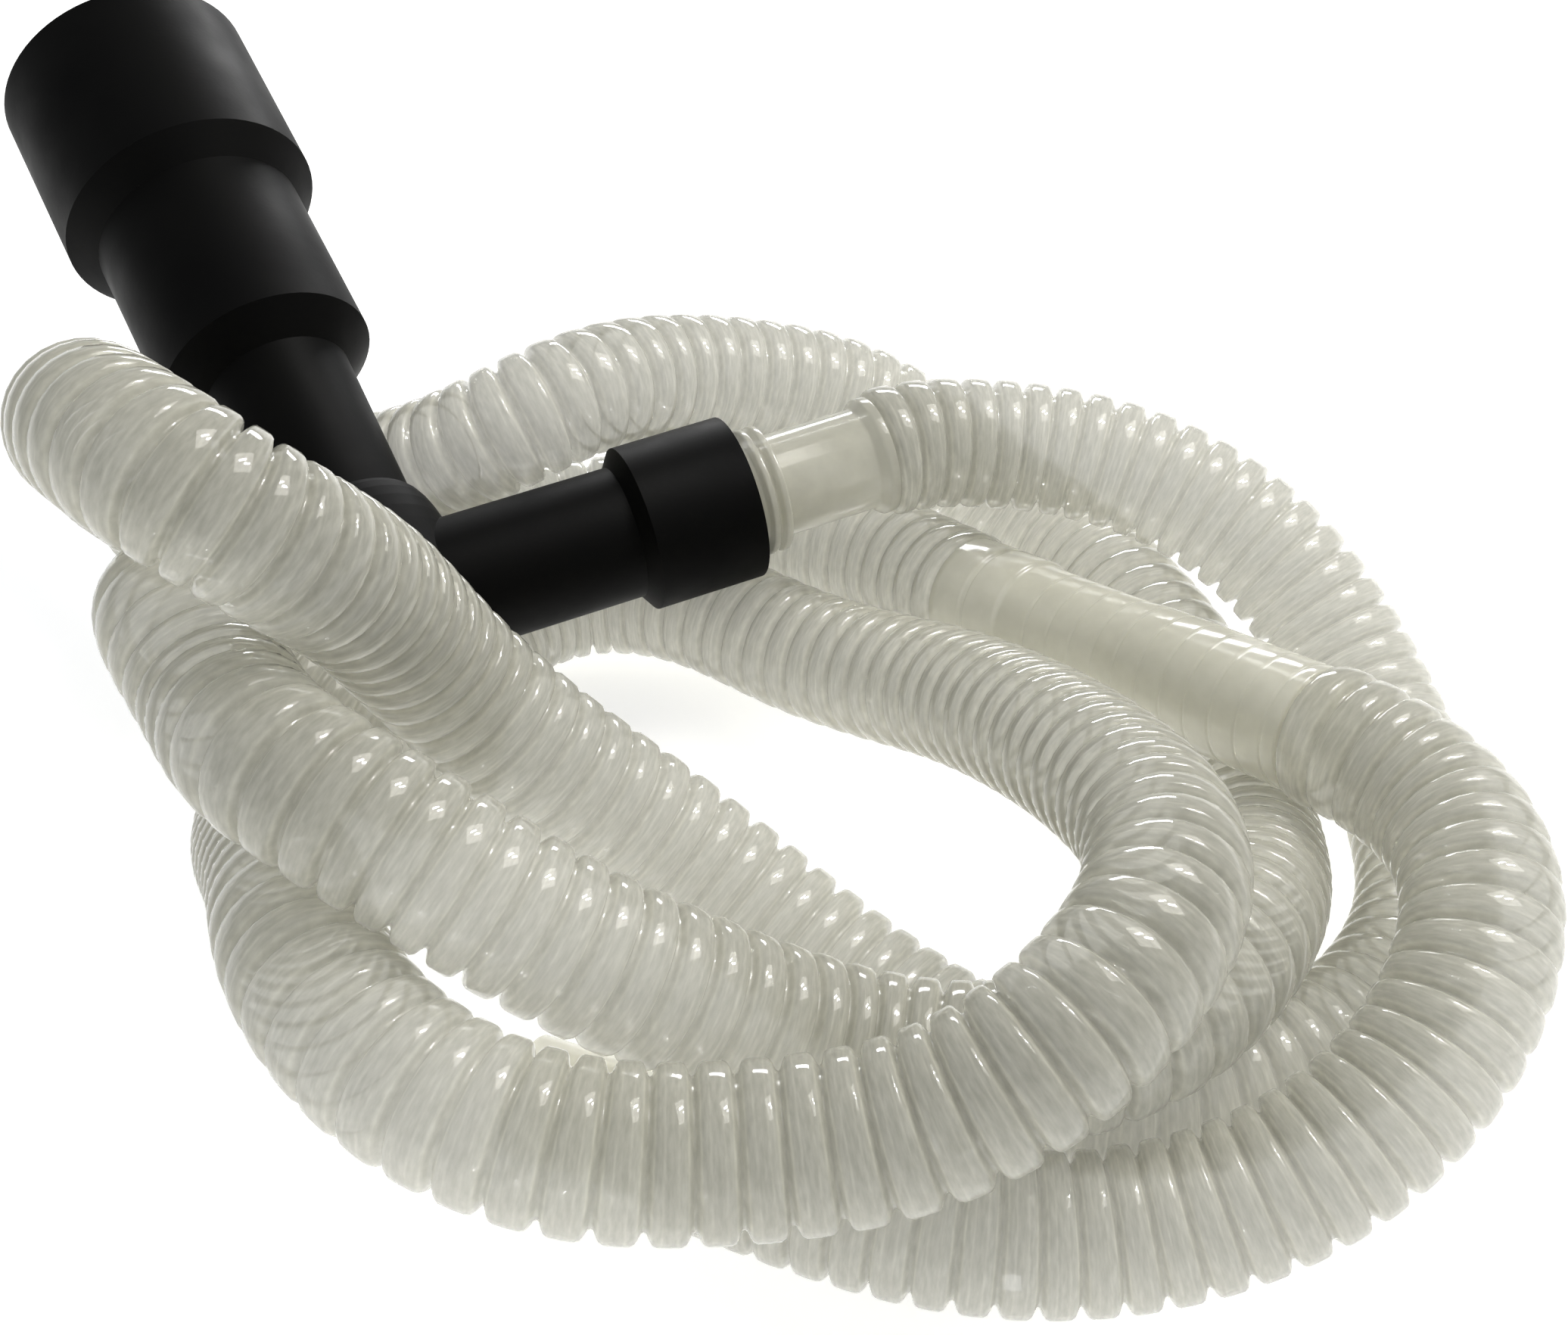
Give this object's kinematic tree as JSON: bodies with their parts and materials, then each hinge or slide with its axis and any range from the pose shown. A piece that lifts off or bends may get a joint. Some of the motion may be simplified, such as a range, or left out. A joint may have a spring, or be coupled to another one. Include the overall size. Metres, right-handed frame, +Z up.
{
  "type": "vacuum hose",
  "caption": "Coiled translucent corrugated hose with smooth end and middle cuffs and a stepped black rubber elbow on its inlet.",
  "frame": {"origin": "middle of the coil's bounding box, on the surface it lies on", "axes": "+Z up; the front of the coil faces -Y, and the elbow's cup points back and to the left"},
  "size_m": [0.2735, 0.2528, 0.1204],
  "materials": {
    "black_rubber": "satin black moulded rubber",
    "clear_cuff": "smooth milky polyethylene",
    "milky_hose": "glossy corrugated milky polyethylene"
  },
  "bodies": {
    "hose": {"inlet_cuff": "clear_cuff", "hose_run_1": "milky_hose", "middle_cuff": "clear_cuff", "hose_run_2": "milky_hose", "outlet_cuff": "clear_cuff"},
    "elbow": {"rubber_elbow": "black_rubber"}
  },
  "joints": [
    {"name": "elbow_turn", "type": "hinge", "parent": "hose", "child": "elbow", "pos_m": [-0.00195, 0.02705, 0.04488], "axis": [0.9167, 0.3938, 0.068], "range_deg": [0, 20]}
  ]
}
